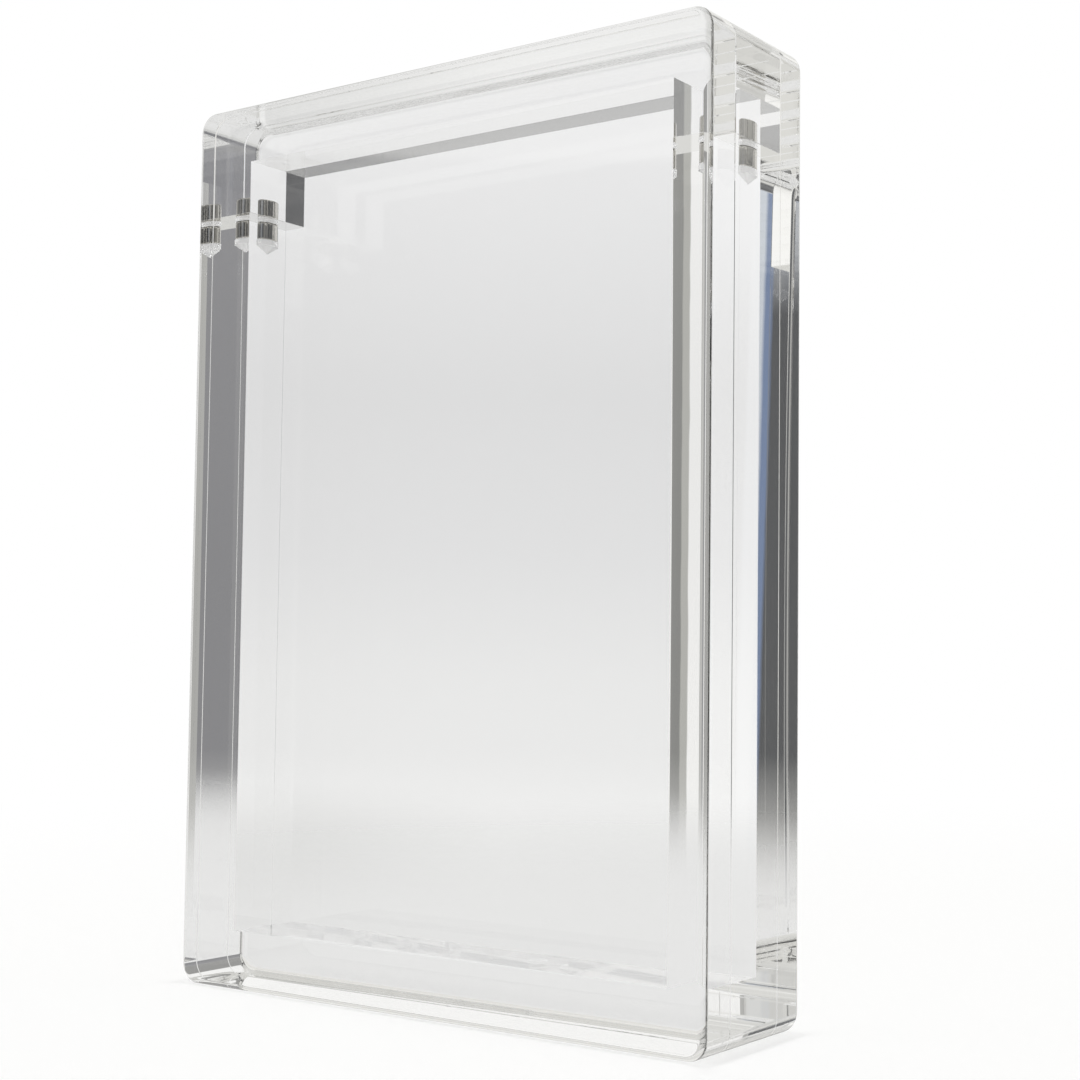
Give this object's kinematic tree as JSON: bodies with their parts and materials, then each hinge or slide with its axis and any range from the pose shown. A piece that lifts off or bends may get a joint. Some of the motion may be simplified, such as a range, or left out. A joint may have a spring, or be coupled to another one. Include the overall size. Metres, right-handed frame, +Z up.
{
  "type": "trading card display case",
  "caption": "Upright clear acrylic case for a trading card in its holder: thick front and back panels bonded to a U frame, and a magnetic top cap that lifts straight off.",
  "frame": {"origin": "on the table, under the middle of the case's footprint", "axes": "+Z up, the way the cap lifts; the front face looks along -Y; +X is the viewer's right from the front"},
  "size_m": [0.109, 0.0296, 0.158],
  "materials": {
    "panel_acrylic": "polished clear",
    "frame_acrylic": "polished clear",
    "cap_acrylic": "polished clear",
    "magnet_plating": "bright nickel"
  },
  "bodies": {
    "case": {"front_panel": "panel_acrylic", "back_panel": "panel_acrylic", "frame": "frame_acrylic", "frame_magnet_left": "magnet_plating", "frame_magnet_right": "magnet_plating"},
    "cap": {"top_cap": "cap_acrylic", "cap_magnet_left": "magnet_plating", "cap_magnet_right": "magnet_plating"}
  },
  "joints": [
    {"name": "cap_slide", "type": "slide", "parent": "case", "child": "cap", "axis": [0, 0, 1], "range_m": [0, 0.026]}
  ]
}
